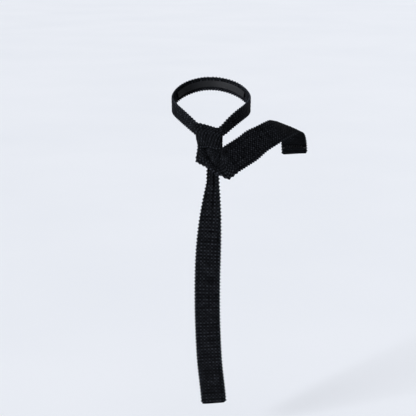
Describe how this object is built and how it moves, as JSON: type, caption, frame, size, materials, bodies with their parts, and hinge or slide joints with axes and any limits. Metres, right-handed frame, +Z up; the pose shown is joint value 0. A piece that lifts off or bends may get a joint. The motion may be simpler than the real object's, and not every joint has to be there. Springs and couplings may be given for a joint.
{
  "type": "necktie",
  "caption": "Knitted square-ended necktie tied in a four-in-hand knot, with a loop for the neck, a hanging tail and a wide blade thrown over one shoulder.",
  "frame": {"origin": "middle of the neck loop, level with its sides", "axes": "+Z up along the neck, +X to the viewer's right, +Y to the wearer's back"},
  "size_m": [0.2544, 0.1972, 0.5821],
  "materials": {
    "knit": "fine black moss-stitch knit, matt",
    "thread": "black sewing thread, slight sheen",
    "tape": "black woven stay tape, satin"
  },
  "bodies": {
    "loop": {"neckband_left": "knit", "neckband_right": "knit", "neck_seam": "thread", "neck_tape": "tape", "knot_first_cross": "knit", "knot_back_wrap": "knit", "knot_front_wrap": "knit", "knot_rise": "knit", "blade_tuck": "knit", "blade_turn": "knit"},
    "throat": {"tail_throat": "knit"},
    "upper": {"tail_upper": "knit"},
    "middle": {"tail_middle": "knit"},
    "lower": {"tail_lower": "knit", "tail_hem": "knit", "tail_hem_stitches": "thread", "tail_bar_tacks": "thread"},
    "run": {"blade_run": "knit", "keeper_loop": "knit", "keeper_tacks": "thread"},
    "drop": {"blade_drop": "knit", "blade_hem": "knit", "blade_hem_stitches": "thread", "blade_bar_tacks": "thread"}
  },
  "joints": [
    {"name": "tail_slide", "type": "slide", "parent": "loop", "child": "throat", "axis": [0, -0.1994, -0.9799], "range_m": [0, 0.02]},
    {"name": "tail_swing", "type": "hinge", "parent": "throat", "child": "upper", "pos_m": [0.0035, -0.09507, -0.08814], "axis": [0, -0.9799, 0.1994], "range_deg": [-18, 18]},
    {"name": "tail_lift", "type": "hinge", "parent": "upper", "child": "middle", "pos_m": [0.0035, -0.10325, -0.12831], "axis": [-1, 0, 0], "range_deg": [0, 60]},
    {"name": "tail_curl", "type": "hinge", "parent": "middle", "child": "lower", "pos_m": [-0.00638, -0.12925, -0.31371], "axis": [-0.9999, 0, 0.0119], "range_deg": [0, 60]},
    {"name": "blade_lift", "type": "hinge", "parent": "loop", "child": "run", "pos_m": [0.03648, -0.10575, -0.08468], "axis": [0.6041, -0.3214, -0.7292], "range_deg": [0, 60]},
    {"name": "blade_fold", "type": "hinge", "parent": "run", "child": "drop", "pos_m": [0.1496, 0.00146, -0.04634], "axis": [0.8949, 0, -0.4462], "range_deg": [0, 60]}
  ]
}
